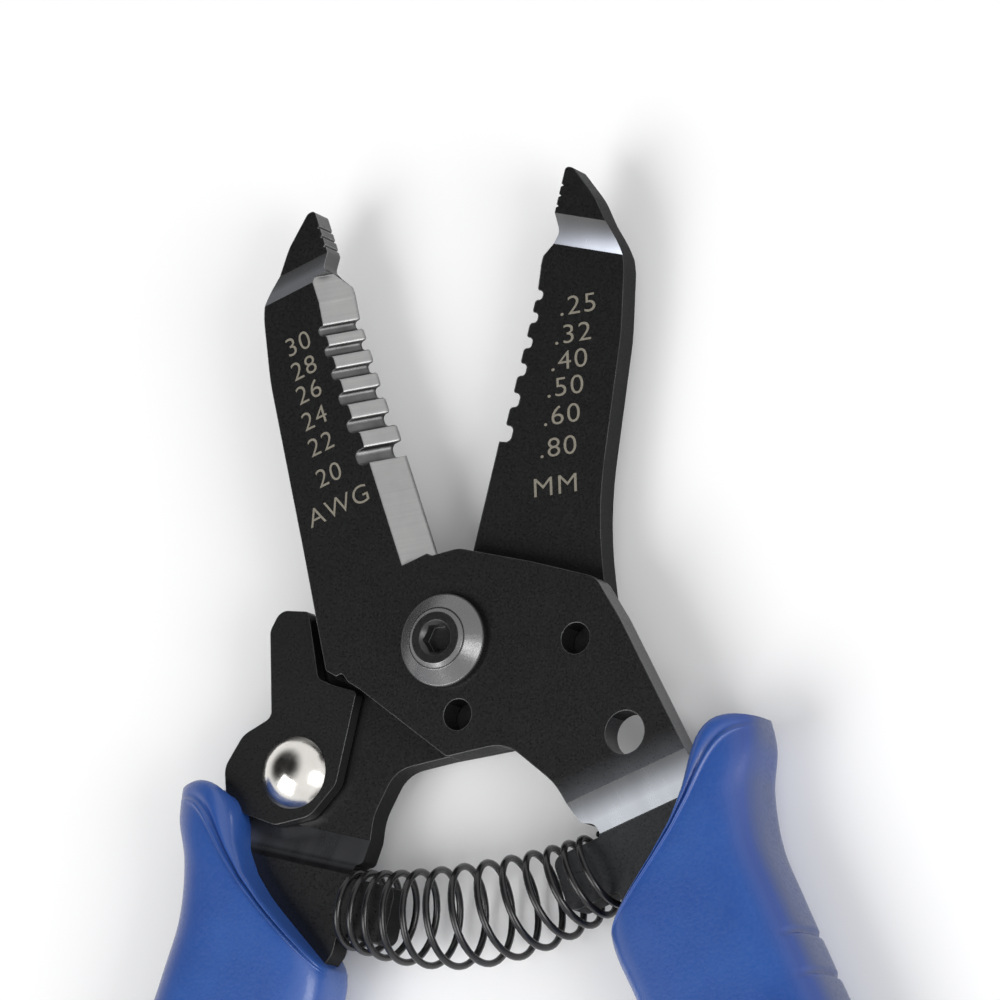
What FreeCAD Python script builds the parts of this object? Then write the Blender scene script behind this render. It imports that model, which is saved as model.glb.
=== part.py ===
import FreeCAD, Part
import Sketcher
import math
import os

# Plate-type precision wire stripper. The tool lies flat: the pivot axis is Z through the origin,
# the jaws point to +Y and the handles to -Y. The rest pose is open.
# The front lever (z > 0) is the left jaw and the right handle; the rear lever (z < 0) is the
# right jaw and the left handle. Each lever is drawn closed, with its cutting edge along Y, and
# is then swung about the pivot by half of the opening.

doc = FreeCAD.newDocument("WireStripper")
sheet = doc.addObject("Spreadsheet::Sheet", "Sizes")

SIZES = [
    ("plate_thick", 3.0, "thickness of each lever"),
    ("plate_gap", 0.1, "clear gap between the two levers"),
    ("half_opening", 17.0, "swing of each lever from closed, degrees"),
    ("nose_reach", 54.9, "pivot to the tip of the nose"),
    ("nose_gap", 0.05, "closed gap on each side of the gripping faces"),
    ("nose_foot", 49.6, "pivot to the foot of the gripping faces"),
    ("serration_depth", 0.3, "depth of a nose serration"),
    ("serration_pitch", 1.2, "spacing of the nose serrations"),
    ("jaw_joggle_start", 46.3, "pivot to the bend that brings the nose to the middle"),
    ("jaw_joggle_run", 3.2, "length of that bend"),
    ("tang_joggle_start", 23.2, "pivot to the bend that brings the tang to the middle"),
    ("tang_joggle_run", 4.2, "length of that bend"),
    ("grip_end_wall", 14.0, "grip beyond the end of each tang"),
    ("blade_top", 43.8, "pivot to the outer end of the blade"),
    ("blade_foot", 10.4, "pivot to the inner end of the blade"),
    ("blade_cross", 1.0, "how far each shear edge passes the middle when closed"),
    ("strip_cross", 0.65, "how far the stripping lobes pass the middle when closed"),
    ("bevel_width", 3.3, "width of the ground bevel across the blade"),
    ("jaw_half_width", 13.3, "middle to the back of a jaw near the hub"),
    ("shank_radius", 3.0, "pivot screw shank"),
    ("pivot_clearance", 0.05, "radial clearance of the turning lever on the shank"),
    ("flange_radius", 5.2, "pivot screw flange"),
    ("flange_thick", 0.4, "rim of the pivot screw flange"),
    ("skirt_height", 1.3, "conical skirt between the flange's rim and the boss"),
    ("boss_radius", 3.35, "pivot screw head above its flange"),
    ("boss_height", 1.65, "pivot screw head above its flange"),
    ("hex_flats", 3.0, "hex socket across flats"),
    ("hex_depth", 1.7, "hex socket depth"),
    ("thread_radius", 2.5, "threaded end of the pivot screw"),
    ("washer_radius", 5.0, "pivot washers"),
    ("washer_thick", 0.4, "pivot washers"),
    ("nut_flats", 8.0, "pivot nut across flats"),
    ("nut_height", 2.7, "pivot nut"),
    ("running_gap", 0.05, "axial gap over each turning piece"),
    ("hang_radius", 2.4, "hanging hole in the front lever"),
    ("tool_hole_radius", 1.75, "two locating holes in the front lever"),
    ("rivet_radius", 1.75, "latch rivet shank"),
    ("rivet_head_radius", 4.1, "latch rivet dome"),
    ("rivet_head_height", 2.3, "latch rivet dome"),
    ("rivet_tail_radius", 3.0, "formed tail of the latch rivet"),
    ("rivet_tail_height", 0.9, "formed tail of the latch rivet"),
    ("latch_thick", 1.6, "latch plate"),
    ("latch_washer_thick", 0.3, "washer under the latch"),
    ("latch_hook", 11.65, "rivet to the corner of the latch hook"),
    ("latch_tab", 18.7, "rivet to the end of the thumb tab"),
    ("spring_fit", 0.1, "gap from the corners of the tongues to the inside of the spring"),
    ("tongue_drop", 31.0, "pivot to the middle of the spring tongues"),
    ("wire_radius", 0.4, "spring wire"),
    ("spring_end_radius", 4.1, "spring's mean radius at its ends"),
    ("spring_mid_radius", 5.5, "spring's mean radius at its middle"),
    ("spring_sag", 2.9, "bow of the spring away from the pivot"),
    ("grip_top", 22.2, "pivot to the top of the grips"),
    ("grip_end", 112.0, "pivot to the end of the grips"),
    ("grip_half_thick", 6.0, "half thickness of the grips"),
    ("grip_offset", 1.4, "how far the pair of handles stands to the right of the pivot"),
]
for row, (alias, value, note) in enumerate(SIZES, start=1):
    sheet.set("A%d" % row, note)
    sheet.set("B%d" % row, str(value))
    sheet.setAlias("B%d" % row, alias)
doc.recompute()


def size(alias):
    return float(sheet.get(alias))


FRONT, REAR = 1, -1
# Each stripping notch: wire diameter, distance from the pivot, half height of the notch.
NOTCHES = [
    (0.25, 40.3, 0.48),
    (0.32, 37.7, 0.52),
    (0.40, 34.8, 0.56),
    (0.50, 31.7, 0.64),
    (0.60, 28.2, 0.74),
    (0.80, 24.3, 0.88),
]
LATCH_RIVET = (-15.85, -17.65)
HANG_HOLE = (17.0, -18.6)
TOOL_HOLES = [(14.9, -6.3), (-1.3, -8.4)]
LEFT_SEAT = -5.8
RIGHT_SEAT = 9.9
LEFT_TONGUE_TIP = 0.2
RIGHT_TONGUE_TIP = 3.6
DEEP = 200.0


def vec(x, y, z=0.0):
    return FreeCAD.Vector(x, y, z)


def rounded_wire(corners):
    """Closed wire through corners (x, y, radius), each corner rounded by its radius."""
    points = [vec(x, y) for x, y, radius in corners]
    count = len(points)
    starts, ends, middles = [], [], []
    for i in range(count):
        before, here, after = points[i - 1], points[i], points[(i + 1) % count]
        to_before = (before - here).normalize()
        to_after = (after - here).normalize()
        half_angle = to_before.getAngle(to_after) / 2
        room = 0.49 * min((before - here).Length, (after - here).Length)
        setback = min(corners[i][2] / math.tan(half_angle), room)
        radius = setback * math.tan(half_angle)
        bisector = (to_before + to_after).normalize()
        starts.append(here + to_before * setback)
        ends.append(here + to_after * setback)
        middles.append(here + bisector * (radius / math.sin(half_angle) - radius))
    edges = []
    for i in range(count):
        if (ends[i] - starts[i]).Length > 1e-6:
            edges.append(Part.Arc(starts[i], middles[i], ends[i]).toShape())
        edges.append(Part.LineSegment(ends[i], starts[(i + 1) % count]).toShape())
    return Part.Wire(edges)


def prism(corners, low, high):
    """Rounded outline in XY, from z = low to z = high."""
    face = Part.Face(rounded_wire(corners))
    face.translate(vec(0, 0, low))
    return face.extrude(vec(0, 0, high - low))


def upright_prism(points, normal_start, normal_length, axis):
    """Polygon of (along, z) points in a plane that stands upright, pushed along the other axis."""
    if axis == "X":
        corners = [vec(normal_start, y, z) for y, z in points]
        push = vec(normal_length, 0)
    else:
        corners = [vec(x, normal_start, z) for x, z in points]
        push = vec(0, normal_length)
    return Part.Face(Part.makePolygon(corners + corners[:1])).extrude(push)


def mirrored(corners):
    return [(-x, y, radius) for x, y, radius in corners]


def cut_all(base, tools):
    for tool in tools:
        base = base.cut(tool)
    return base


# ---- Lever blanks, drawn closed; side is +1 for the front lever and -1 for the rear lever ----

MATE = size("plate_gap") / 2
OUTER = MATE + size("plate_thick")
HALF_PLATE = size("plate_thick") / 2


def side_profile(side):
    """The lever from the side: tang in the middle plane, hub to one side, nose in the middle."""
    tang_low = -size("tang_joggle_start") - size("tang_joggle_run")
    jaw_high = size("jaw_joggle_start") + size("jaw_joggle_run")
    outer = [
        (-DEEP, HALF_PLATE),
        (tang_low, HALF_PLATE),
        (-size("tang_joggle_start"), OUTER),
        (size("jaw_joggle_start"), OUTER),
        (jaw_high, HALF_PLATE),
        (DEEP, HALF_PLATE),
    ]
    inner = [(y, z - size("plate_thick")) for y, z in reversed(outer)]
    points = [(y, side * z) for y, z in outer + inner]
    return upright_prism(points, -DEEP, 2 * DEEP, "X")


def blade_edge():
    """Nose, blade edge and shoulder of the hub, from the nose tip down; edge faces +X."""
    gap = size("nose_gap")
    cross = size("blade_cross")
    foot = size("nose_foot")
    top = size("blade_top")
    return [
        (-gap, size("nose_reach"), 0.5),
        (-gap, foot, 0.5),
        (-gap - 0.7, (foot + top) / 2 + 0.9, 1.2),
        (cross, top + 0.9, 0.5),
        (cross, size("blade_foot") - 0.4, 0.8),
    ]


def jaw_back():
    """Back of the jaw, from the hub up to the nose tip; back faces -X."""
    width = size("jaw_half_width")
    reach = size("nose_reach")
    return [
        (-width, 17.0, 60.0),
        (2.3 - width, reach - 17.3, 30.0),
        (4.2 - width, reach - 8.4, 10.0),
        (8.8 - width, reach - 2.8, 8.0),
        (-1.0, reach, 0.8),
    ]


def tongue_half_width():
    """Half the width of a tongue whose corners just clear the inside of the spring's end."""
    inside = size("spring_end_radius") - size("wire_radius") - size("spring_fit")
    return math.sqrt(inside ** 2 - HALF_PLATE ** 2)


def tongue(seat, tip):
    """Spring tongue, pointing from the tang at x = seat to x = tip."""
    top = -size("tongue_drop") + tongue_half_width()
    bottom = -size("tongue_drop") - tongue_half_width()
    return [(seat, top, 0.5), (tip, top, 1.2), (tip, bottom, 1.2), (seat, bottom, 0.5)]


def strip_outline(side):
    """What the lobes and notches leave away from the blade, at its edge; edge faces +X."""
    cross = size("blade_cross")
    lobe = size("strip_cross")
    clear = cross + 2.0
    last = len(NOTCHES) - 1
    corners = [(clear, size("blade_top") + 0.6, 0.0), (cross, size("blade_top"), 0.6)]
    for i, (wire_diameter, height, half) in enumerate(NOTCHES):
        reach = cross if i == last and side == FRONT else lobe
        foot_reach = cross if i == last - 1 and side == FRONT else lobe
        bottom = -wire_diameter / 2
        corners.append((reach, height + half + 0.05, 0.3))
        corners.append((bottom, height + half, half - 0.05))
        corners.append((bottom, height - half, half - 0.05))
        if i < last:
            corners.append((foot_reach, height - half - 0.1, 0.55))
    corners.append((cross, NOTCHES[last][1] - NOTCHES[last][2] - 0.1, 0.25))
    corners.append((clear, NOTCHES[last][1] - NOTCHES[last][2] - 0.1, 0.0))
    return [(side * x, y, radius) for x, y, radius in corners]


def nose_grooves(side):
    """Serrations across the gripping face of the nose."""
    pitch = size("serration_pitch")
    bottom = -side * (size("nose_gap") + size("serration_depth"))
    count = int((size("nose_reach") - 0.8 - size("nose_foot")) / pitch)
    tools = []
    for i in range(count):
        y = size("nose_foot") + (i + 0.6) * pitch
        corners = [(side * 0.4, y - 0.45, 0), (side * 0.4, y + 0.45, 0), (bottom, y, 0)]
        tools.append(prism(corners, -size("plate_thick"), size("plate_thick")))
    return tools


def blade_tools(side):
    """Ground bevel, stripping lobes and notches, and nose serrations, as cutting solids."""
    cross = size("blade_cross")
    width = size("bevel_width")
    low = size("blade_foot")
    length = size("jaw_joggle_start") + 0.6 - low
    bevel = [
        (side * cross, side * MATE),
        (side * (cross - width), side * OUTER),
        (side * 9.0, side * OUTER),
        (side * 9.0, side * MATE),
    ]
    slope = vec(-side * width, 0, side * size("plate_thick")) * 2
    strip = Part.Face(rounded_wire(strip_outline(side)))
    strip.translate(vec(0, 0, side * MATE) - slope / 4)
    tools = [upright_prism(bevel, low, length, "Y"), strip.extrude(slope)]
    return tools + nose_grooves(side)


def round_hole(centre, radius):
    return Part.makeCylinder(radius, DEEP, vec(centre[0], centre[1], -DEEP / 2))


def add_piece(label, shape, turn=0.0):
    """A finished piece from a shape drawn closed, swung about the pivot by turn degrees."""
    piece = doc.addObject("Part::Feature", label)
    piece.Label = label
    piece.Shape = shape
    piece.Placement = FreeCAD.Placement(vec(0, 0), FreeCAD.Rotation(vec(0, 0, 1), turn))
    return piece


def front_lever_shape():
    reach = size("grip_end") - size("grip_end_wall")
    outline = blade_edge()
    outline += [
        (4.9, 9.3, 3.0),
        (12.7, 4.1, 8.0),
        (19.4, -0.8, 2.5),
        (20.6, -6.3, 6.0),
        (23.2, -24.0, 8.0),
        (23.2, -42.0, 20.0),
        (24.0, -70.0, 30.0),
        (20.5, -reach, 2.5),
        (16.5, -reach, 2.5),
        (15.5, -70.0, 30.0),
        (13.8, -44.0, 8.0),
        (RIGHT_SEAT, -35.9, 2.0),
    ]
    outline += reversed(tongue(RIGHT_SEAT, RIGHT_TONGUE_TIP))
    outline += [
        (RIGHT_SEAT, -26.3, 1.0),
        (8.4, -25.6, 1.0),
        (7.3, -20.5, 8.0),
        (3.2, -13.8, 5.0),
        (-4.1, -12.3, 0.8),
        (-11.7, -0.7, 0.6),
        (-12.8, 0.7, 0.5),
        (-13.2, 2.0, 0.6),
        (-14.0, 1.9, 0.4),
        (-15.0, 3.1, 0.6),
    ]
    outline += jaw_back()
    blank = prism(outline, -DEEP, DEEP).common(side_profile(FRONT))
    holes = [round_hole((0, 0), size("shank_radius") + size("pivot_clearance"))]
    holes.append(round_hole(HANG_HOLE, size("hang_radius")))
    for centre in TOOL_HOLES:
        holes.append(round_hole(centre, size("tool_hole_radius")))
    return cut_all(blank, blade_tools(FRONT) + holes)


def rear_lever_shape():
    reach = size("grip_end") - size("grip_end_wall")
    outline = mirrored(blade_edge())
    outline += [
        (-4.9, 9.3, 3.0),
        (-12.7, 4.1, 8.0),
        (-18.6, 0.2, 2.5),
        (-19.6, -9.0, 8.0),
        (-22.6, -19.5, 5.0),
        (-22.4, -30.0, 8.0),
        (-19.6, -42.0, 20.0),
        (-20.0, -70.0, 30.0),
        (-16.5, -reach, 2.5),
        (-12.5, -reach, 2.5),
        (-11.5, -70.0, 30.0),
        (-9.4, -44.0, 8.0),
        (LEFT_SEAT, -36.4, 2.0),
    ]
    outline += reversed(tongue(LEFT_SEAT, LEFT_TONGUE_TIP))
    outline += [
        (LEFT_SEAT, -26.3, 0.3),
        (-5.0, -25.9, 0.8),
        (-5.6, -20.4, 6.0),
        (-4.2, -15.0, 4.0),
        (1.4, -12.6, 3.0),
        (9.5, -9.6, 6.0),
        (18.4, -1.5, 3.5),
        (18.5, 4.2, 4.0),
    ]
    outline += mirrored(jaw_back())
    blank = prism(outline, -DEEP, DEEP).common(side_profile(REAR))
    holes = [round_hole((0, 0), size("shank_radius"))]
    holes.append(round_hole(LATCH_RIVET, size("rivet_radius")))
    return cut_all(blank, blade_tools(REAR) + holes)


front_lever = add_piece("front_lever", front_lever_shape(), size("half_opening"))
rear_lever = add_piece("rear_lever", rear_lever_shape(), -size("half_opening"))


# ---- Turned pieces and fasteners, as Part primitives bound to the sheet ----

def cylinder(name, radius, height, bottom, x=0.0, y=0.0):
    """Part::Cylinder whose radius, height and bottom height are sheet expressions."""
    disc = doc.addObject("Part::Cylinder", name)
    disc.Placement = FreeCAD.Placement(vec(x, y), FreeCAD.Rotation())
    disc.setExpression("Radius", radius)
    disc.setExpression("Height", height)
    disc.setExpression("Placement.Base.z", bottom)
    return disc


def hex_prism(name, flats, height, bottom):
    block = doc.addObject("Part::Prism", name)
    block.Polygon = 6
    block.setExpression("Circumradius", "%s / 2 / cos(30 deg)" % flats)
    block.setExpression("Height", height)
    block.setExpression("Placement.Base.z", bottom)
    return block


def cone(name, foot_radius, top_radius, height, bottom, x=0.0, y=0.0):
    taper = doc.addObject("Part::Cone", name)
    taper.Placement = FreeCAD.Placement(vec(x, y), FreeCAD.Rotation())
    taper.setExpression("Radius1", foot_radius)
    taper.setExpression("Radius2", top_radius)
    taper.setExpression("Height", height)
    taper.setExpression("Placement.Base.z", bottom)
    return taper


def fuse(name, pieces):
    joined = doc.addObject("Part::MultiFuse", name)
    joined.Shapes = pieces
    joined.Refine = True
    return joined


def cut(name, base, tool):
    result = doc.addObject("Part::Cut", name)
    result.Base = base
    result.Tool = tool
    return result


FACE = "(Sizes.plate_gap / 2 + Sizes.plate_thick)"
WASHER_FOOT = FACE + " + Sizes.running_gap"
FLANGE_FOOT = WASHER_FOOT + " + Sizes.washer_thick"
BOSS_FOOT = FLANGE_FOOT + " + Sizes.flange_thick"
HEAD_TOP = BOSS_FOOT + " + Sizes.boss_height"
NUT_TOP = "-" + FACE + " - Sizes.washer_thick"


def make_pivot_screw():
    shank = cylinder(
        "screw_shank", "Sizes.shank_radius", "%s + %s" % (FLANGE_FOOT, FACE), "-" + FACE)
    thread = cylinder(
        "screw_thread", "Sizes.thread_radius",
        "Sizes.washer_thick + Sizes.nut_height + 0.4", NUT_TOP + " - Sizes.nut_height - 0.4")
    flange = cylinder(
        "screw_flange", "Sizes.flange_radius", "Sizes.flange_thick", FLANGE_FOOT)
    skirt = cone(
        "screw_skirt", "Sizes.flange_radius - 0.1", "Sizes.boss_radius + 0.15",
        "Sizes.skirt_height", BOSS_FOOT)
    boss = cylinder(
        "screw_boss", "Sizes.boss_radius", "Sizes.boss_height - 0.3", BOSS_FOOT)
    boss_edge = cone(
        "screw_boss_edge", "Sizes.boss_radius", "Sizes.boss_radius - 0.45", "0.3 mm",
        HEAD_TOP + " - 0.3")
    body = fuse("screw_body", [shank, thread, flange, skirt, boss, boss_edge])
    socket = hex_prism("screw_socket", "Sizes.hex_flats", "Sizes.hex_depth + 1",
                       HEAD_TOP + " - Sizes.hex_depth")
    sink = cone("screw_sink", "Sizes.hex_flats / 2", "Sizes.hex_flats / 2 + 0.7", "0.7 mm",
                HEAD_TOP + " - 0.5")
    return cut("pivot_screw", body, fuse("screw_recess", [socket, sink]))


def make_washer(name, bottom, inner):
    ring = cylinder(name + "_disc", "Sizes.washer_radius", "Sizes.washer_thick", bottom)
    hole = cylinder(name + "_hole", inner, "Sizes.washer_thick + 2", bottom + " - 1")
    return cut(name, ring, hole)


def make_pivot_nut():
    block = hex_prism("nut_block", "Sizes.nut_flats", "Sizes.nut_height",
                      NUT_TOP + " - Sizes.nut_height")
    rounding = fuse("nut_rounding", [
        cone("nut_round_low", "Sizes.nut_flats / 2 - 0.1", "Sizes.nut_flats / 2 + 0.9", "1 mm",
             NUT_TOP + " - Sizes.nut_height"),
        cylinder("nut_round_high", "Sizes.nut_flats / 2 + 0.9", "Sizes.nut_height - 1",
                 NUT_TOP + " - Sizes.nut_height + 1"),
    ])
    shaped = doc.addObject("Part::MultiCommon", "nut_shaped")
    shaped.Shapes = [block, rounding]
    hole = cylinder("nut_hole", "Sizes.thread_radius", "Sizes.nut_height + 2",
                    NUT_TOP + " - Sizes.nut_height - 1")
    return cut("pivot_nut", shaped, hole)


pivot_screw = make_pivot_screw()
spring_washer = make_washer("spring_washer", WASHER_FOOT, "Sizes.shank_radius")
back_washer = make_washer("back_washer", "-" + FACE + " - Sizes.washer_thick",
                          "Sizes.thread_radius")
pivot_nut = make_pivot_nut()

# ---- Latch: drawn in the open pose, round its rivet ----

SWING = math.radians(-size("half_opening"))
RIVET_X = LATCH_RIVET[0] * math.cos(SWING) - LATCH_RIVET[1] * math.sin(SWING)
RIVET_Y = LATCH_RIVET[0] * math.sin(SWING) + LATCH_RIVET[1] * math.cos(SWING)
LEVER_FACE = "-Sizes.plate_gap / 2"
LATCH_FOOT = LEVER_FACE + " + Sizes.latch_washer_thick + Sizes.running_gap"
RIVET_HEAD_FOOT = LATCH_FOOT + " + Sizes.latch_thick + Sizes.running_gap"


def latch_outline():
    """Thumb tab, hook and round foot of the latch plate, about its rivet."""
    hook = size("latch_hook") * math.sqrt(0.5)
    tab = size("latch_tab")
    return [
        (hook, hook, 0.5),
        (5.3, 9.3, 1.0),
        (3.4, 10.3, 0.9),
        (2.4, tab - 0.6, 0.5),
        (-1.2, tab, 1.6),
        (-2.6, tab - 2.2, 1.6),
        (-2.7, 6.6, 1.2),
        (-6.4, 5.0, 2.5),
        (-8.9, 1.6, 2.5),
        (-8.8, -1.4, 1.5),
        (-6.4, -4.0, 1.5),
        (-2.6, -5.7, 1.5),
        (1.9, -5.2, 2.6),
        (5.3, -2.0, 2.0),
    ]


def make_lock_latch():
    body = doc.addObject("PartDesign::Body", "lock_latch")
    doc.recompute()
    plane = [f for f in body.Origin.OriginFeatures if f.Role == "XY_Plane"][0]
    outline = body.newObject("Sketcher::SketchObject", "latch_sketch")
    outline.AttachmentSupport = [(plane, "")]
    outline.MapMode = "FlatFace"
    for edge in rounded_wire(latch_outline()).Edges:
        curve = edge.Curve
        if isinstance(curve, Part.Circle):
            geometry = Part.ArcOfCircle(curve, edge.FirstParameter, edge.LastParameter)
        else:
            geometry = Part.LineSegment(edge.Vertexes[0].Point, edge.Vertexes[-1].Point)
        outline.addGeometry(geometry, False)
    hole = outline.addGeometry(Part.Circle(vec(0, 0), vec(0, 0, 1), size("rivet_radius")), False)
    rule = outline.addConstraint(Sketcher.Constraint("Radius", hole, 1.8))
    outline.setExpression("Constraints[%d]" % rule, "Sizes.rivet_radius + Sizes.pivot_clearance")
    pad = body.newObject("PartDesign::Pad", "latch_pad")
    pad.Profile = outline
    pad.setExpression("Length", "Sizes.latch_thick")
    body.Placement = FreeCAD.Placement(vec(RIVET_X, RIVET_Y), FreeCAD.Rotation())
    body.setExpression("Placement.Base.z", LATCH_FOOT)
    return body


def make_latch_washer():
    ring = cylinder("latch_washer_disc", "Sizes.rivet_radius + 2", "Sizes.latch_washer_thick",
                    LEVER_FACE, RIVET_X, RIVET_Y)
    hole = cylinder("latch_washer_hole", "Sizes.rivet_radius", "Sizes.latch_washer_thick + 2",
                    LEVER_FACE + " - 1", RIVET_X, RIVET_Y)
    return cut("latch_washer", ring, hole)


def make_latch_rivet():
    """Shank, formed tail against the rear lever, and a low dome cut from a sphere."""
    shank = cylinder("rivet_shank", "Sizes.rivet_radius", "%s + %s" % (RIVET_HEAD_FOOT, FACE),
                     "-" + FACE, RIVET_X, RIVET_Y)
    tail = cone("rivet_tail", "Sizes.rivet_tail_radius - 0.6", "Sizes.rivet_tail_radius",
                "Sizes.rivet_tail_height", "-" + FACE + " - Sizes.rivet_tail_height",
                RIVET_X, RIVET_Y)
    ball = doc.addObject("Part::Sphere", "rivet_ball")
    ball.Placement = FreeCAD.Placement(vec(RIVET_X, RIVET_Y), FreeCAD.Rotation())
    crown = "(Sizes.rivet_head_radius ^ 2 + %s ^ 2) / (2 * %s)"
    height = "Sizes.rivet_head_height"
    ball_radius = crown % (height, height)
    ball.setExpression("Radius", ball_radius)
    ball.setExpression("Placement.Base.z", "%s + %s - %s" % (RIVET_HEAD_FOOT, height, ball_radius))
    slab = cylinder("rivet_slab", "Sizes.rivet_head_radius", height, RIVET_HEAD_FOOT,
                    RIVET_X, RIVET_Y)
    dome = doc.addObject("Part::MultiCommon", "rivet_dome")
    dome.Shapes = [ball, slab]
    return fuse("latch_rivet", [shank, tail, dome])


lock_latch = make_lock_latch()
latch_washer = make_latch_washer()
latch_rivet = make_latch_rivet()

# ---- Grips: lofted through oval sections, fitted over the tangs ----

GRIP_HEIGHTS = [0.0, 0.06, 0.14, 0.25, 0.40, 0.58, 0.76, 0.90, 0.97, 1.0]
GRIP_BACKS = [31.2, 29.6, 27.5, 27.9, 29.3, 29.8, 27.9, 24.2, 21.4, 18.6]
GRIP_INSIDES = [4.6, 4.9, 5.8, 7.0, 8.6, 9.9, 9.8, 8.8, 9.2, 11.4]
GRIP_FULLNESS = [0.88, 0.96, 1.0, 1.0, 1.0, 1.0, 0.97, 0.93, 0.85, 0.6]


def oval(centre_x, y, half_width, half_thick):
    """Closed rounded-square section across the grip."""
    points = []
    for step in range(24):
        turn = 2 * math.pi * step / 24
        c, sn = math.cos(turn), math.sin(turn)
        x = math.copysign(abs(c) ** 0.8, c) * half_width
        z = math.copysign(abs(sn) ** 0.8, sn) * half_thick
        points.append(vec(centre_x + x, y, z))
    curve = Part.BSplineCurve()
    curve.interpolate(points, PeriodicFlag=True)
    return Part.Wire(curve.toShape())


def grip_shape(side, lever, mouth):
    """Oval handle cover, open where the tang enters, with a slanted mouth."""
    length = size("grip_end") - size("grip_top")
    thick = size("grip_half_thick")
    sections = []
    for share, back, inside, full in zip(GRIP_HEIGHTS, GRIP_BACKS, GRIP_INSIDES, GRIP_FULLNESS):
        centre = side * (back + inside) / 2 + size("grip_offset")
        y = -size("grip_top") - share * length
        sections.append(oval(centre, y, (back - inside) / 2, thick * full))
    body = Part.makeLoft(sections, True, False)
    return body.cut(prism(mouth, -DEEP, DEEP)).cut(lever)


RIGHT_MOUTH = [
    (24.9, -20.0, 0.0),
    (24.9, -23.6, 0.0),
    (21.8, -27.4, 8.0),
    (14.8, -33.4, 8.0),
    (7.2, -39.6, 1.0),
    (3.0, -39.0, 0.0),
    (3.0, -20.0, 0.0),
]
LEFT_MOUTH = [
    (-24.3, -19.0, 0.0),
    (-24.3, -22.9, 0.5),
    (-20.7, -24.9, 3.0),
    (-17.6, -28.4, 8.0),
    (-10.6, -33.8, 8.0),
    (-7.8, -36.1, 2.0),
    (0.5, -36.8, 0.0),
    (2.0, -19.0, 0.0),
]

right_grip = add_piece(
    "right_grip", grip_shape(1, front_lever_shape(), RIGHT_MOUTH), size("half_opening"))
left_grip = add_piece(
    "left_grip", grip_shape(-1, rear_lever_shape(), LEFT_MOUTH), -size("half_opening"))


# ---- Return spring: a barrel of wire, bowed, with its ends over the two tongues ----

SPRING_TURNS = 13
STEPS_PER_TURN = 8
END_CLOSENESS = 0.055


def to_rest(x, y, degrees):
    """A point of a closed lever, where it lies once the lever has swung open."""
    turn = math.radians(degrees)
    cosine, sine = math.cos(turn), math.sin(turn)
    return vec(x * cosine - y * sine, x * sine + y * cosine)


def spring_axis_point(share):
    """Point on the bowed axis between the two seats."""
    drop = -size("tongue_drop")
    swing = size("half_opening")
    wire = size("wire_radius")
    start = to_rest(LEFT_SEAT + wire, drop, -swing)
    end = to_rest(RIGHT_SEAT - wire, drop, swing)
    middle = (start + end) * 0.5 + vec(0, -2 * size("spring_sag"))
    return start * (1 - share) ** 2 + middle * (2 * share * (1 - share)) + end * share ** 2


def spring_point(step, count):
    """Centre of the wire; the coils lie closer together near both ends of the barrel."""
    turn = 2 * math.pi * step / STEPS_PER_TURN
    share = step / count
    share -= END_CLOSENESS * math.sin(2 * math.pi * share)
    along = spring_axis_point(min(share + 0.01, 1)) - spring_axis_point(max(share - 0.01, 0))
    across = vec(0, 0, 1).cross(along.normalize())
    swell = size("spring_mid_radius") - size("spring_end_radius")
    radius = size("spring_end_radius") + swell * math.sin(math.pi * share)
    side_step = across * (radius * math.cos(turn))
    return spring_axis_point(share) + side_step + vec(0, 0, radius * math.sin(turn))


def spring_shape():
    """Round wire swept along a barrel-shaped helix about the bowed axis."""
    count = SPRING_TURNS * STEPS_PER_TURN
    curve = Part.BSplineCurve()
    curve.interpolate([spring_point(step, count) for step in range(count + 1)])
    ends = Part.makeCircle(size("wire_radius"), curve.StartPoint, curve.tangent(0)[0])
    shell = Part.BRepOffsetAPI.MakePipeShell(Part.Wire(curve.toShape()))
    shell.setFrenetMode(True)
    shell.add(Part.Wire(ends))
    shell.build()
    shell.makeSolid()
    wanted = curve.length() * math.pi * size("wire_radius") ** 2
    assert abs(shell.shape().Volume / wanted - 1) < 0.02, "the spring's sweep is broken"
    return shell.shape()


return_spring = add_piece("return_spring", spring_shape())

# ---- Checks and export ----

NODES = [
    front_lever, rear_lever, pivot_screw, spring_washer, back_washer, pivot_nut,
    lock_latch, latch_washer, latch_rivet, return_spring, left_grip, right_grip,
]
doc.recompute()
for obj in doc.Objects:
    assert "Invalid" not in obj.State and "Error" not in obj.State, obj.Name
for node in NODES:
    node.Label = node.Name
    assert not node.Shape.isNull() and node.Shape.isValid(), node.Name
os.makedirs("parts", exist_ok=True)
for node in NODES:
    node.Shape.exportStep("parts/%s.step" % node.Label)
    print(node.Label, len(node.Shape.Solids), round(node.Shape.Volume, 1))
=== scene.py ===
import math

import bpy
from mathutils import Matrix, Vector


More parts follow.
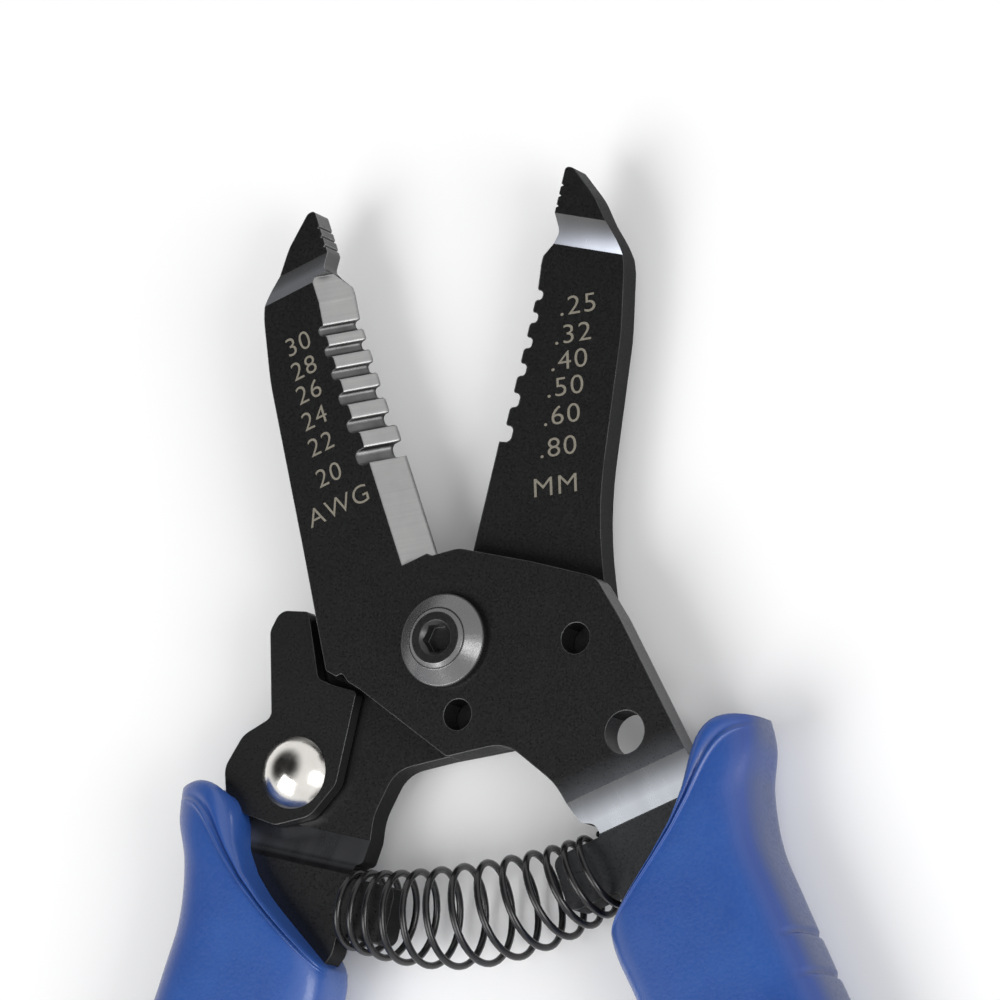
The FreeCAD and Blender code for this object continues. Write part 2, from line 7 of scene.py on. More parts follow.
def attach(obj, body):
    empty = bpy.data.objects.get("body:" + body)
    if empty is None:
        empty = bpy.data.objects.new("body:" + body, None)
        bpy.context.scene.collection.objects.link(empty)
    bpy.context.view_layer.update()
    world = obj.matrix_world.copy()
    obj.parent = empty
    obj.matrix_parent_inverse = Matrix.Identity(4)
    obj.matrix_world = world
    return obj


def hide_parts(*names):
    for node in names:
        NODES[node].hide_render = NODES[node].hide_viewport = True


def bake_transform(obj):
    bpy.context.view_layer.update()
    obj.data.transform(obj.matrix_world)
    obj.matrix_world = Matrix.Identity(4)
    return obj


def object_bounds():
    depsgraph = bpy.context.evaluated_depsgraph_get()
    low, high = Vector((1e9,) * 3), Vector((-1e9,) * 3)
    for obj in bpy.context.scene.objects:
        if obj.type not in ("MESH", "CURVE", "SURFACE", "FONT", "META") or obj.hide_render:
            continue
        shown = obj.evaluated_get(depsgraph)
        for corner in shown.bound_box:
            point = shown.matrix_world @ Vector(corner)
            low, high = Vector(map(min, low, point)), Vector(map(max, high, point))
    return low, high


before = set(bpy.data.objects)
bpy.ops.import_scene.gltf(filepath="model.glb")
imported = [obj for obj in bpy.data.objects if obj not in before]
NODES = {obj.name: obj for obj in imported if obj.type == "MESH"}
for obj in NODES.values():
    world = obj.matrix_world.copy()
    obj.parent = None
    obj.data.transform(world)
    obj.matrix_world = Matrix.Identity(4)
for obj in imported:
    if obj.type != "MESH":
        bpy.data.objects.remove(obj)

# Everything is in metres. +Z is the pivot axis, +Y points to the jaws. Each lever and its grip is
# described closed, as if the jaws were shut, and HALF_OPENING swings it to the rest pose.
MM = 0.001
HALF_OPENING = math.radians(17.0)
CAD_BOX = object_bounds()
FRONT, REAR = 1, -1


def swing(side):
    """Turns a closed lever to where it rests: front lever +17 degrees, rear lever -17."""
    return Matrix.Rotation(side * HALF_OPENING, 4, "Z")


# ---- Camera ----

CAMERA_TURN = 27.4
CAMERA_TILT = -13.2
CAMERA_ROLL = -1.8
CAMERA_DISTANCE = 0.7
CAMERA_RIGHT = 0.0046
CAMERA_UP = 0.01622


def make_camera():
    """Long lens, above and to the right of the tool, a little towards the handles."""
    turn = math.radians(CAMERA_TURN)
    tilt = math.radians(CAMERA_TILT)
    roll = math.radians(CAMERA_ROLL)
    back = Vector((
        math.sin(turn) * math.cos(tilt),
        math.sin(tilt),
        math.cos(turn) * math.cos(tilt),
    ))
    right = Vector((0, 1, 0)).cross(back).normalized()
    up = back.cross(right)
    rolled_right = right * math.cos(roll) + up * math.sin(roll)
    rolled_up = up * math.cos(roll) - right * math.sin(roll)
    data = bpy.data.cameras.new("camera")
    data.lens = 226.8
    data.sensor_width = 36.0
    camera = bpy.data.objects.new("camera", data)
    place = back * CAMERA_DISTANCE + rolled_right * CAMERA_RIGHT + rolled_up * CAMERA_UP
    axes = Matrix((rolled_right, rolled_up, back)).transposed().to_4x4()
    camera.matrix_world = Matrix.Translation(place) @ axes
    bpy.context.scene.collection.objects.link(camera)
    bpy.context.scene.camera = camera


# ---- Shader helpers ----

class Shader:
    """One material and short ways to add and join its nodes."""

    def __init__(self, name):
        self.material = bpy.data.materials.new(name)
        self.material.use_nodes = True
        self.tree = self.material.node_tree
        self.base = self.tree.nodes["Principled BSDF"]

    def add(self, kind, **values):
        node = self.tree.nodes.new(kind)
        for key, value in values.items():
            if hasattr(node, key):
                setattr(node, key, value)
            else:
                node.inputs[key].default_value = value
        return node

    def join(self, output, target):
        self.tree.links.new(output, target)

    def set(self, **values):
        for key, value in values.items():
            self.base.inputs[key.replace("_", " ")].default_value = value

    def coords(self, scale=(1, 1, 1), turn=0.0):
        """Object coordinates, turned about Z and then scaled, so patterns can follow a lever."""
        source = self.add("ShaderNodeTexCoord")
        turned = self.add("ShaderNodeMapping")
        turned.inputs["Rotation"].default_value = (0, 0, turn)
        scaled = self.add("ShaderNodeMapping")
        scaled.inputs["Scale"].default_value = scale
        self.join(source.outputs["Object"], turned.inputs["Vector"])
        self.join(turned.outputs["Vector"], scaled.inputs["Vector"])
        return scaled.outputs["Vector"]

    def noise(self, vector, scale, detail=4.0, roughness=0.55):
        node = self.add("ShaderNodeTexNoise")
        node.inputs["Scale"].default_value = scale
        node.inputs["Detail"].default_value = detail
        node.inputs["Roughness"].default_value = roughness
        self.join(vector, node.inputs["Vector"])
        return node.outputs["Fac"]

    def spread(self, value, low, high, to_low, to_high):
        node = self.add("ShaderNodeMapRange")
        node.inputs["From Min"].default_value = low
        node.inputs["From Max"].default_value = high
        node.inputs["To Min"].default_value = to_low
        node.inputs["To Max"].default_value = to_high
        self.join(value, node.inputs["Value"])
        return node.outputs["Result"]

    def blend(self, factor, low, high):
        """Colour that goes from low to high with factor; each is a colour or an output."""
        node = self.add("ShaderNodeMix", data_type="RGBA")
        self.join(factor, node.inputs["Factor"])
        sockets = [s for s in node.inputs if s.type == "RGBA"]
        for value, socket in zip((low, high), sockets):
            if isinstance(value, tuple):
                socket.default_value = (*value, 1.0)
            else:
                self.join(value, socket)
        return [o for o in node.outputs if o.type == "RGBA"][0]

    def math(self, operation, first, second):
        node = self.add("ShaderNodeMath", operation=operation)
        for value, socket in zip((first, second), node.inputs):
            if isinstance(value, (int, float)):
                socket.default_value = value
            else:
                self.join(value, socket)
        return node.outputs["Value"]

    def edges(self, radius):
        """Near 1 on sharp edges and 0 on flats, from how far the rounded normal turns away."""
        rounded = self.add("ShaderNodeBevel", samples=6)
        rounded.inputs["Radius"].default_value = radius
        true = self.add("ShaderNodeNewGeometry")
        dot = self.add("ShaderNodeVectorMath", operation="DOT_PRODUCT")
        self.join(rounded.outputs["Normal"], dot.inputs[0])
        self.join(true.outputs["Normal"], dot.inputs[1])
        return self.spread(dot.outputs["Value"], 0.98, 0.75, 0.0, 1.0)

    def bump(self, height, distance, strength=1.0, rounding=0.0):
        node = self.add("ShaderNodeBump")
        node.inputs["Strength"].default_value = strength
        node.inputs["Distance"].default_value = distance
        self.join(height, node.inputs["Height"])
        if rounding:
            bevel = self.add("ShaderNodeBevel", samples=6)
            bevel.inputs["Radius"].default_value = rounding
            self.join(bevel.outputs["Normal"], node.inputs["Normal"])
        self.join(node.outputs["Normal"], self.base.inputs["Normal"])


# ---- Materials ----

def black_oxide(name, low=0.003, high=0.007, shine=0.32, edge=0.11, ior=1.68, painted_sheen=None):
    """Blackened steel: fine mottling, grey edges that are partly wear and partly a painted edge
    highlight, and a soft sheen.

    low and high bound its tone, edge is the tone of the grey edges (wear with a painted highlight)
    and shine its roughness.
    The last argument is (side, y, y): a painted sheen on the closed lever's face, from grey at the
    first y to full black at the second.
    """
    s = Shader(name)
    where = s.coords()
    cloud = s.noise(where, 260.0, 5.0)
    grain = s.noise(where, 4200.0, 2.0)
    tone = s.blend(cloud, (low, low, low * 1.1), (high, high, high * 1.08))
    # Grey on sharp edges: partly wear, partly a painted edge highlight.
    edge_wear_and_highlight = s.math("MULTIPLY", s.edges(0.00022), s.spread(cloud, 0.35, 0.7, 0.3, 1.0))
    colour = s.blend(edge_wear_and_highlight, tone, (edge, edge, edge))
    # Painted sheen: a mottled grey fade on the plate above the tang, continuing the bend's painted
    # highlight.
    if painted_sheen:
        side, grey_at, black_at = painted_sheen
        split = s.add("ShaderNodeSeparateXYZ")
        s.join(s.coords((1, 1, 1), -side * HALF_OPENING), split.inputs["Vector"])
        fade = s.spread(split.outputs["Y"], grey_at * MM, black_at * MM, 1.0, 0.0)
        tang = s.spread(split.outputs["Y"], -27.6 * MM, -27.3 * MM, 0.3, 1.0)
        mottle = s.math("MULTIPLY", tang, s.spread(cloud, 0.3, 0.7, 0.7, 1.0))
        amount = s.math("MULTIPLY", s.math("POWER", fade, 1.6), mottle)
        colour = s.blend(amount, colour, (0.075, 0.080, 0.088))
    s.join(colour, s.base.inputs["Base Color"])
    s.set(Metallic=0.0, IOR=ior)
    s.join(s.spread(grain, 0.3, 0.7, shine - 0.06, shine + 0.08), s.base.inputs["Roughness"])
    s.bump(grain, 0.000012, 0.5, 0.00018)
    return s.material


def ground_steel(name, side, low=0.32, high=0.48):
    """Bare ground steel; the grinding lines run across the blade, down the bevel."""
    s = Shader(name)
    where = s.coords((40, 2600, 40), -side * HALF_OPENING)
    lines = s.noise(where, 1.0, 6.0, 0.65)
    broad = s.noise(s.coords(), 500.0, 3.0)
    tone = s.blend(lines, (low, low, low * 0.99), (high, high, high * 0.985))
    shade = s.blend(s.spread(broad, 0.3, 0.75, 0.0, 0.35), tone, (0.3, 0.3, 0.31))
    # Painted shade: ambient occlusion darkens the base colour in recesses.
    corner = s.add("ShaderNodeAmbientOcclusion", samples=8)
    corner.inputs["Distance"].default_value = 0.0009
    painted_recess_shade = s.spread(corner.outputs["AO"], 0.35, 0.92, 0.0, 1.0)
    s.join(s.blend(painted_recess_shade, (0.05, 0.05, 0.05), shade), s.base.inputs["Base Color"])
    s.set(Metallic=1.0)
    s.join(s.spread(lines, 0.3, 0.7, 0.30, 0.46), s.base.inputs["Roughness"])
    s.bump(lines, 0.00001, 0.6, 0.0004)
    return s.material


def burnish_and_painted_highlight(name, side, strong, faint, left=1.0, tint=(0.19, 0.195, 0.21)):
    """Bend rubbed by the press tool, with a painted highlight: brightest at y = strong, fading to
    black at y = faint.

    left is how bright it stays at the end of the bend away from the light.
    """
    s = Shader(name)
    closed = s.coords((1, 1, 1), -side * HALF_OPENING)
    split = s.add("ShaderNodeSeparateXYZ")
    s.join(closed, split.inputs["Vector"])
    # Painted highlight: tone and metalness ramp along the bend from strong to faint, and dim across
    # it away from the light.
    fade = s.spread(split.outputs["Y"], strong * MM, faint * MM, 1.0, 0.0)
    across = s.spread(split.outputs["X"], 0.0, 10.0 * MM, left, 1.0)
    rub = s.noise(s.coords((500, 90, 90), -side * HALF_OPENING), 1.0, 4.0)
    dark = tuple(0.75 * value for value in tint)
    bright = s.blend(rub, dark, tint)
    amount = s.math("MULTIPLY", s.math("POWER", fade, 1.4), across)
    s.join(s.blend(amount, (0.004, 0.004, 0.005), bright), s.base.inputs["Base Color"])
    s.join(s.spread(amount, 0.0, 0.5, 0.1, 0.9), s.base.inputs["Metallic"])
    s.join(s.spread(rub, 0.3, 0.7, 0.24, 0.34), s.base.inputs["Roughness"])
    s.bump(rub, 0.00001, 0.4)
    return s.material


def chrome(name):
    s = Shader(name)
    haze = s.noise(s.coords(), 900.0, 3.0)
    s.join(s.blend(haze, (0.72, 0.69, 0.65), (0.86, 0.84, 0.80)), s.base.inputs["Base Color"])
    s.set(Metallic=1.0)
    s.join(s.spread(haze, 0.3, 0.7, 0.14, 0.24), s.base.inputs["Roughness"])
    s.bump(haze, 0.000008, 0.4)
    return s.material


def spring_black(name):
    s = Shader(name)
    streak = s.noise(s.coords(), 1500.0, 3.0)
    s.join(s.blend(streak, (0.004, 0.004, 0.005), (0.014, 0.014, 0.015)), s.base.inputs["Base Color"])
    s.set(Metallic=0.0, IOR=1.5)
    s.join(s.spread(streak, 0.3, 0.7, 0.16, 0.28), s.base.inputs["Roughness"])
    s.bump(streak, 0.000006, 0.4)
    return s.material


def blue_vinyl(name, outward):
    """Dipped vinyl: royal blue with a fine pebble, darker at the corners as painted shade and greyer
    on the side faces as painted light.
    """
    s = Shader(name)
    where = s.coords()
    pebble = s.noise(where, 2600.0, 2.0, 0.5)
    cloud = s.noise(where, 120.0, 4.0)
    deep = (0.017, 0.061, 0.262)
    light = (0.026, 0.092, 0.335)
    skin = s.blend(s.spread(cloud, 0.2, 0.8, 0.0, 1.0), deep, light)
    # Painted light: colour follows how far each face turns outward, darker blue at the corners,
    # mottled grey-blue on the side faces.
    source = s.add("ShaderNodeTexCoord")
    facing = s.add("ShaderNodeVectorMath", operation="DOT_PRODUCT")
    s.join(source.outputs["Normal"], facing.inputs[0])
    facing.inputs[1].default_value = outward
    corner = s.spread(facing.outputs["Value"], 0.25, 0.62, 0.0, 1.0)
    shaded = s.blend(corner, skin, (0.010, 0.045, 0.230))
    painted_side_light = s.spread(facing.outputs["Value"], 0.72, 0.97, 0.0, 1.0)
    mottled_side_light = s.math("MULTIPLY", painted_side_light, s.spread(cloud, 0.3, 0.7, 0.7, 1.0))
    s.join(s.blend(mottled_side_light, shaded, (0.036, 0.053, 0.125)), s.base.inputs["Base Color"])
    s.set(Specular_IOR_Level=0.5, Coat_Weight=0.45, Coat_Roughness=0.18)
    s.join(s.spread(pebble, 0.3, 0.7, 0.34, 0.5), s.base.inputs["Roughness"])
    s.bump(pebble, 0.00005, 0.5)
    return s.material


def etched(name):
    """Laser marking: matt beige grey with a fine speckle."""
    s = Shader(name)
    speckle = s.noise(s.coords(), 5200.0, 3.0)
    s.join(s.blend(speckle, (0.10, 0.09, 0.07), (0.29, 0.265, 0.215)), s.base.inputs["Base Color"])
    s.set(Roughness=0.75)
    s.bump(speckle, 0.00001, 0.4)
    return s.material


def floor_white(name):
    s = Shader(name)
    cloud = s.noise(s.coords(), 3.0, 3.0)
    s.join(s.blend(cloud, (0.91, 0.91, 0.915), (0.94, 0.94, 0.94)), s.base.inputs["Base Color"])
    s.set(Roughness=0.9)
    return s.material


# ---- CAD nodes keep their shape and get their materials face by face ----

# Sizes of the lever in mm, with the jaws closed; each range is from low to high y.
BEVEL_WIDTH = 3.3
PLATE_THICK = 3.0
BLADE_RANGE = (10.3, 47.0)
NOTCH_RANGE = (23.4, 41.0)
JAW_BEND = (46.3, 49.5)
TANG_BEND = (-27.4, -23.2)
HUB_RANGE = (-24.0, 5.0)
# The order of a lever's materials.
PLATE, GROUND, JAW, TANG, WALL, NOTCH, NOSE = range(7)


def dress_lever(node, side, plate, jaw_bend, tang_bend):
    """Black plate, bright bevel and lobes, notches darkened with painted shade, dark nose faces with
    bright edges (wear and painted glints), burnished bends with a painted highlight.
    """
    mesh = NODES[node].data
    mesh.materials.clear()
    for material in (
        plate,
        ground_steel(node + "_ground", side),
        jaw_bend,
        tang_bend,
        black_oxide(node + "_wall", shine=0.5, edge=0.05, ior=1.22),
        # Dark ground steel for the notches: painted shade in the recesses.
        ground_steel(node + "_notch", side, 0.07, 0.15),
        # Nose faces: bright edges, partly wear and partly painted glints.
        black_oxide(node + "_nose", 0.012, 0.030, edge=0.55),
    ):
        mesh.materials.append(material)
    closed = swing(-side).to_3x3()
    down_bevel = Vector((-side * BEVEL_WIDTH, 0, side * PLATE_THICK)).normalized()
    for face in mesh.polygons:
        normal = closed @ face.normal
        centre = closed @ face.center / MM
        on_blade = BLADE_RANGE[0] < centre.y < BLADE_RANGE[1] and side * centre.x > -4.6
        ground = on_blade and abs(normal.dot(down_bevel)) < 0.12
        depth = side * (centre.x + BEVEL_WIDTH * centre.z / PLATE_THICK)
        in_notch = NOTCH_RANGE[0] < centre.y < NOTCH_RANGE[1] and depth < 0.3
        on_nose = centre.y > BLADE_RANGE[1] and side * centre.x > -0.95 and abs(normal.z) < 0.3
        tilted = abs(normal.y) > 0.15 and abs(normal.z) > 0.8
        on_hub = HUB_RANGE[0] < centre.y < HUB_RANGE[1]
        hub_wall = side == FRONT and normal.x > 0.3 and on_hub
        face.material_index = PLATE
        # Notch faces and lobe walls along the blade take the painted-shade material.
        if ground and (in_notch or abs(normal.y) > 0.5):
            face.material_index = NOTCH
        elif ground:
            face.material_index = GROUND
        elif on_nose:
            face.material_index = NOSE
        elif tilted and JAW_BEND[0] < centre.y < JAW_BEND[1]:
            face.material_index = JAW
        elif tilted and TANG_BEND[0] < centre.y < TANG_BEND[1]:
            face.material_index = TANG
        elif abs(normal.z) < 0.3 and not hub_wall:
            face.material_index = WALL


SKIRT_INNER = 2.4


def dress_screw():
    """The head and socket are dull black; the wide conical skirt is glossier and painted a lighter
    grey, a painted sheen.
    """
    mesh = NODES["pivot_screw"].data
    mesh.materials.clear()
    mesh.materials.append(black_oxide("screw_oxide", 0.004, 0.010, 0.36, 0.10, 1.6))
    # Skirt: the lighter colour is a painted sheen.
    mesh.materials.append(black_oxide("screw_skirt", 0.018, 0.032, 0.26, 0.16, 2.3))
    for face in mesh.polygons:
        off_axis = Vector((face.center.x, face.center.y)).length
        on_skirt = off_axis > SKIRT_INNER * MM and 0.3 < face.normal.z < 0.98
        face.material_index = int(on_skirt)


def dress(node, material):
    mesh = NODES[node].data
    mesh.materials.clear()
    mesh.materials.append(material)


# ---- Meshes built here ----

def new_piece(name, points, faces, material, smooth=True):
    mesh = bpy.data.meshes.new(name)
    mesh.from_pydata(points, [], faces)
    mesh.validate()
    mesh.materials.append(material)
    for face in mesh.polygons:
        face.use_smooth = smooth
    piece = bpy.data.objects.new(name, mesh)
    bpy.context.scene.collection.objects.link(piece)
    return piece


def rings_to_faces(ring_count, ring_size):
    """Quads between rings that follow each other, and a face at each end."""
    faces = []
    for ring in range(ring_count - 1):
        for i in range(ring_size):
            j = (i + 1) % ring_size
            a, b = ring * ring_size, (ring + 1) * ring_size
            faces.append((a + i, a + j, b + j, b + i))
    faces.append(tuple(reversed(range(ring_size))))
    last = (ring_count - 1) * ring_size
    faces.append(tuple(range(last, last + ring_size)))
    return faces


def smooth_curve(points, share):
    """Point at share of a Catmull-Rom curve through points."""
    spans = len(points) - 1
    place = min(max(share, 0.0), 1.0) * spans
    i = min(int(place), spans - 1)
    u = place - i
    p = [Vector(points[min(max(k, 0), spans)]) for k in (i - 1, i, i + 1, i + 2)]
    return 0.5 * (
        2 * p[1]
        + (p[2] - p[0]) * u
        + (2 * p[0] - 5 * p[1] + 4 * p[2] - p[3]) * u ** 2
        + (3 * p[1] - p[0] - 3 * p[2] + p[3]) * u ** 3
    )


# ---- Return spring ----

SPRING_TURNS = 13
SPRING_STEPS = 40
WIRE_SIDES = 12
WIRE_RADIUS = 0.4 * MM
END_RADIUS = 4.1 * MM
MID_RADIUS = 5.5 * MM
LEFT_SEAT = swing(REAR) @ Vector((-5.4, -31.0, 0)) * MM
RIGHT_SEAT = swing(FRONT) @ Vector((9.5, -31.0, 0)) * MM
SAG = 2.9 * MM
END_CLOSENESS = 0.055


def spring_axis(share):
    middle = (LEFT_SEAT + RIGHT_SEAT) / 2 + Vector((0, -2 * SAG, 0))
    return LEFT_SEAT * (1 - share) ** 2 + middle * 2 * share * (1 - share) + RIGHT_SEAT * share ** 2


def spring_centre(share):
    """Wire centre; the coils lie closer together near both ends of the barrel."""
    turn = 2 * math.pi * SPRING_TURNS * share
    share = share - END_CLOSENESS * math.sin(2 * math.pi * share)
    along = (spring_axis(min(share + 0.01, 1)) - spring_axis(max(share - 0.01, 0))).normalized()
    across = Vector((0, 0, 1)).cross(along)
    radius = END_RADIUS + (MID_RADIUS - END_RADIUS) * math.sin(math.pi * share)
    return spring_axis(share) + (across * math.cos(turn) + Vector((0, 0, math.sin(turn)))) * radius


def make_spring():
    count = SPRING_TURNS * SPRING_STEPS
    centres = [spring_centre(i / count) for i in range(count + 1)]
    points = []
    for i, centre in enumerate(centres):
        ahead = centres[min(i + 1, count)] - centres[max(i - 1, 0)]
        out = centre - spring_axis(i / count)
        side = ahead.cross(out).normalized()
        out = side.cross(ahead).normalized()
        for k in range(WIRE_SIDES):
            turn = 2 * math.pi * k / WIRE_SIDES
            points.append(centre + (out * math.cos(turn) + side * math.sin(turn)) * WIRE_RADIUS)
    faces = rings_to_faces(count + 1, WIRE_SIDES)
    piece = new_piece("spring_coil", points, faces, spring_black("spring_wire"))
    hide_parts("return_spring")
    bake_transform(piece)


# ---- Grips ----

GRIP_OFFSET = 1.4
GRIP_SEGMENTS = 72
GRIP_RINGS = 330
GRIP_LENGTH = 84.0
# Outer and inner edge of the grip, seen from the front, from the mouth to the end.
GRIP_BACK = [
    (30.6, -22.9), (30.0, -26.0), (28.1, -30.0), (27.0, -36.0), (27.4, -42.0), (28.2, -50.0),
    (29.2, -60.0), (29.5, -72.0), (28.5, -84.0), (26.2, -96.0), (23.6, -105.0), (21.6, -109.6),
]
GRIP_INSIDE = [
    (6.4, -38.9), (6.2, -40.2), (6.3, -42.5), (6.8, -46.0), (7.2, -50.0), (7.8, -55.0),
    (8.9, -63.0), (9.8, -73.0), (9.9, -84.0), (9.1, -96.0), (9.0, -105.0), (9.9, -109.6),
]
# How far a ring at the mouth is pushed in, from the tang's side out to the full skin.
MOUTH_RINGS = [(0.0, 6.0), (0.0, 2.6), (0.0, 0.9), (0.0016, 0.42), (0.0045, 0.12)]
# How far the mouth stands out and up from that outline, by side.
MOUTH_SHIFT = {FRONT: (0.0, 0.0), REAR: (0.7, 0.8)}
# How far the mouth bulges up between its two edges, by side.
MOUTH_LIFT = {FRONT: 17.0, REAR: 19.0}
# Each closing ring at the end: its size, and how far it is along the rounded end.
END_RINGS = [
    (0.99, 0.14), (0.95, 0.31), (0.87, 0.50), (0.75, 0.67), (0.58, 0.82), (0.36, 0.94), (0.1, 1.0),
]
GROOVES = [-47.0 - 5.0 * i for i in range(8)]
HALF_THICK = 5.72
GROOVE_DEPTH = 0.5
# Powers that make the section squarer than an ellipse, across and through its thickness.
SQUARE_WIDE, SQUARE_DEEP = 0.55, 0.62
# Rim, crease and ridge that follow the mouth: height, distance from it and width.
MOUTH_FOLDS = [(0.26, 1.6, 0.8), (-0.28, 3.0, 0.45), (0.42, 3.8, 0.28)]


def hump(value, centre, width):
    return math.exp(-((value - centre) / width) ** 2)


def grip_point(side, share, turn, inset=0.0):
    """Point of the grip's skin at share of its length and an angle round its section."""
    back = smooth_curve([(x, y, 0) for x, y in GRIP_BACK], share)
    inside = smooth_curve([(x, y, 0) for x, y in GRIP_INSIDE], share)
    middle = (back + inside) / 2
    reach = (back - inside) / 2
    c, sn = math.cos(turn), math.sin(turn)
    wide = math.copysign(abs(c) ** SQUARE_WIDE, c)
    deep = math.copysign(abs(sn) ** SQUARE_DEEP, sn)
    run = share * GRIP_LENGTH
    lift = MOUTH_LIFT[side] * (1 - wide * wide) * (0.5 + 0.5 * wide) ** 5 * math.exp(-run / 5.5)
    across = reach.normalized()
    upward = Vector((-across.y, across.x, 0))
    point = middle + reach * wide + upward * lift
    out, rise = MOUTH_SHIFT[side]
    near_mouth = math.exp(-run / 9.0)
    point += Vector((out, rise, 0)) * near_mouth
    face = sum(height * hump(run, at, width) for height, at, width in MOUTH_FOLDS)
    side_cut = sum(hump(point.y, groove, 0.32) for groove in GROOVES)
    side_cut *= GROOVE_DEPTH * max(0.0, min(1.0, (wide - 0.8) / 0.15))
    taper = 1 - 0.16 * max(0.0, share - 0.6) / 0.4
    thick = HALF_THICK * (1 - 0.10 * math.exp(-run / 3.0)) * taper
    point -= across * (math.copysign(min(inset, 3.0 * abs(wide)), wide) + side_cut)
    point.z = deep * max(thick + face * abs(sn) - inset, 0.5)
    return Vector((side * point.x + GRIP_OFFSET, point.y, point.z)) * MM


def make_grip(name, side, body):
    """Skin of rings from the mouth's flat face over its rolled rim to the rounded end."""
    turns = [2 * math.pi * i / GRIP_SEGMENTS for i in range(GRIP_SEGMENTS)]
    rings = []
    for share, inset in MOUTH_RINGS:
        rings.append([grip_point(side, share, turn, inset) for turn in turns])
    for k in range(3, GRIP_RINGS + 1):
        rings.append([grip_point(side, k / GRIP_RINGS, turn) for turn in turns])
    last = rings[-1]
    centre = sum(last, Vector()) / GRIP_SEGMENTS
    drop = Vector((-side * 0.7, -2.3, 0)) * MM
    for grow, fall in END_RINGS:
        rings.append([centre + (point - centre) * grow + drop * fall for point in last])
    points = [swing(side) @ point for ring in rings for point in ring]
    faces = rings_to_faces(len(rings), GRIP_SEGMENTS)
    if side > 0:
        faces = [tuple(reversed(face)) for face in faces]
    outward = swing(side) @ Vector((side, 0, 0))
    piece = new_piece(name + "_skin", points, faces, blue_vinyl(name + "_vinyl", outward))
    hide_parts(name)
    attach(piece, body)


# ---- Laser marks ----

MARK_LIFT = 0.012
MARK_SIZE = 3.1
MARK_THINNING = -0.02
FRONT_FACE = 3.05
REAR_FACE = -0.05
# Each number and where its middle lies on the closed lever.
GAUGE_MARKS = [
    ("30", -6.3, 40.2),
    ("28", -6.5, 37.2),
    ("26", -6.8, 34.3),
    ("24", -7.1, 31.1),
    ("22", -7.3, 27.9),
    ("20", -7.5, 24.1),
    ("AWG", -7.45, 20.2),
]
METRIC_MARKS = [
    (".25", 4.8, 39.9),
    (".32", 5.0, 36.6),
    (".40", 5.3, 33.6),
    (".50", 5.6, 30.6),
    (".60", 6.0, 27.4),
    (".80", 6.5, 23.8),
    ("MM", 7.3, 19.5),
]


def make_mark(name, words, stretch, place, turn, body, material):
    """One engraved number, as a thin plate of letters lying on the lever's face."""
    data = bpy.data.curves.new(name, "FONT")
    data.body = words
    data.size = MARK_SIZE * MM
    data.space_character = 1.1
    data.offset = MARK_THINNING * MM
    data.align_x = "CENTER"
    data.align_y = "CENTER"
    data.extrude = MARK_LIFT * MM / 2
    flat = bpy.data.objects.new(name + "_text", data)
    bpy.context.scene.collection.objects.link(flat)
    bpy.context.view_layer.update()
    mesh = bpy.data.meshes.new_from_object(flat)
    bpy.data.objects.remove(flat)
    wider = Matrix.Diagonal((stretch, 1, 1, 1))
    mesh.transform(Matrix.Translation(place) @ Matrix.Rotation(turn, 4, "Z") @ wider)
    mesh.materials.clear()
    mesh.materials.append(material)
    piece = bpy.data.objects.new(name, mesh)
    bpy.context.scene.collection.objects.link(piece)
    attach(piece, body)
    return piece


def make_marks():
    ink = etched("laser_mark")
    for i, (words, x, y) in enumerate(GAUGE_MARKS):
        place = swing(FRONT) @ Vector((x, y, 0)) * MM
        place.z = FRONT_FACE * MM
        make_mark("mark_gauge_%d" % i, words, 1.04, place, HALF_OPENING, "front_arm", ink)
    for i, (words, x, y) in enumerate(METRIC_MARKS):
        place = swing(REAR) @ Vector((x, y, 0)) * MM
        place.z = REAR_FACE * MM
        make_mark("mark_metric_%d" % i, words, 1.18, place, 0.0, "rear_arm", ink)


# ---- Studio ----

def make_studio():
    floor_height = CAD_BOX[0][2]
    low = floor_height - 0.00005
    corners = [(-3, -3, low), (3, -3, low), (3, 3, low), (-3, 3, low)]
    floor = new_piece("floor", corners, [(0, 1, 2, 3)], floor_white("floor_paint"), False)
    make_surround()
    lamps = [
        ("front_left_box", (-0.50, -0.52, 0.85), 0.75, 7.0),
        ("right_box", (0.95, -0.35, 0.55), 0.6, 5.8),
    ]
    for name, place, width, power in lamps:
        data = bpy.data.lights.new(name, "AREA")
        data.size = width
        data.energy = power
        lamp = bpy.data.objects.new(name, data)
        lamp.matrix_world = Matrix.Translation(place) @ (
            Vector(place).to_track_quat("Z", "Y").to_matrix().to_4x4())
        bpy.context.scene.collection.objects.link(lamp)


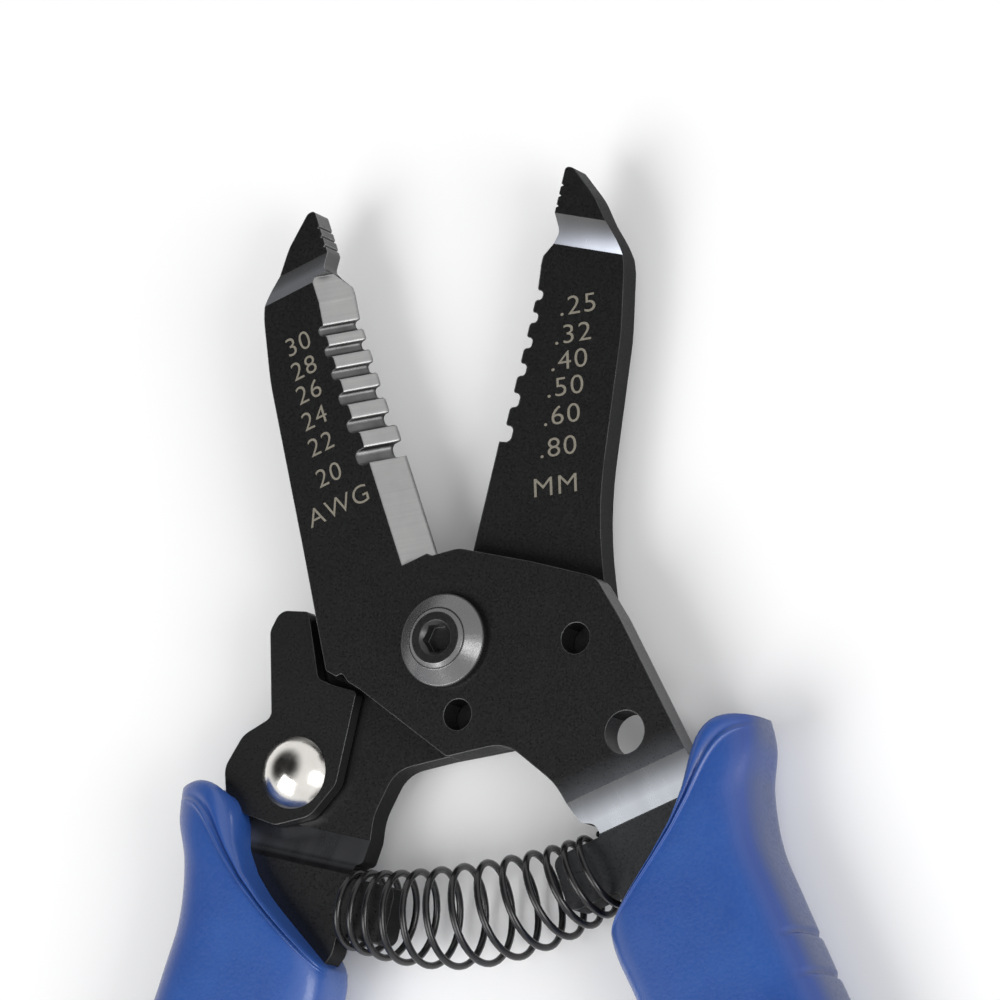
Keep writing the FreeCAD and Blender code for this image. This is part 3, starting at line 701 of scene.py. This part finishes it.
def make_surround():
    """White surround with one dark flag high up behind the jaws, which keeps the plates black."""
    world = bpy.data.worlds.new("studio")
    bpy.context.scene.world = world
    world.use_nodes = True
    nodes = world.node_tree.nodes
    links = world.node_tree.links
    where = nodes.new("ShaderNodeTexCoord")
    aim = nodes.new("ShaderNodeVectorMath")
    aim.operation = "DOT_PRODUCT"
    aim.inputs[1].default_value = Vector((-0.448, 0.30, 0.84)).normalized()
    fade = nodes.new("ShaderNodeMapRange")
    fade.interpolation_type = "SMOOTHSTEP"
    fade.inputs["From Min"].default_value = 0.58
    fade.inputs["From Max"].default_value = 0.90
    fade.inputs["To Min"].default_value = 0.92
    fade.inputs["To Max"].default_value = 0.02
    links.new(where.outputs["Generated"], aim.inputs[0])
    links.new(aim.outputs["Value"], fade.inputs["Value"])
    links.new(fade.outputs["Result"], nodes["Background"].inputs["Strength"])
    nodes["Background"].inputs["Color"].default_value = (1.0, 1.0, 1.0, 1.0)


make_camera()
make_studio()
# Bends: burnish with a painted highlight; the front plate also gets a painted grey sheen next to its
# tang bend.
dress_lever(
    "front_lever",
    FRONT,
    black_oxide("front_oxide", painted_sheen=(FRONT, TANG_BEND[1] - 0.1, -19.8)),
    burnish_and_painted_highlight("front_jaw_bend", FRONT, JAW_BEND[0] + 1.2, JAW_BEND[1] + 0.4),
    burnish_and_painted_highlight("front_tang_bend", FRONT, TANG_BEND[0] + 1.4, -22.3, 1.0, (0.19, 0.20, 0.215)),
)
dress_lever(
    "rear_lever",
    REAR,
    black_oxide("rear_oxide"),
    burnish_and_painted_highlight(
        "rear_jaw_bend", REAR, JAW_BEND[0] + 0.3, JAW_BEND[1] - 0.1, 0.35, (0.36, 0.38, 0.43)),
    burnish_and_painted_highlight("rear_tang_bend", REAR, TANG_BEND[0] + 1.5, -27.0),
)
dress("lock_latch", black_oxide("latch_oxide"))
dress_screw()
dress("pivot_nut", black_oxide("nut_oxide", 0.012, 0.026, 0.32))
for washer in ("spring_washer", "back_washer", "latch_washer"):
    dress(washer, ground_steel(washer + "_steel", FRONT, 0.3, 0.5))
dress("latch_rivet", chrome("rivet_chrome"))
make_spring()
make_grip("right_grip", FRONT, "front_arm")
make_grip("left_grip", REAR, "rear_arm")
make_marks()
bpy.context.scene.view_settings.view_transform = "Standard"
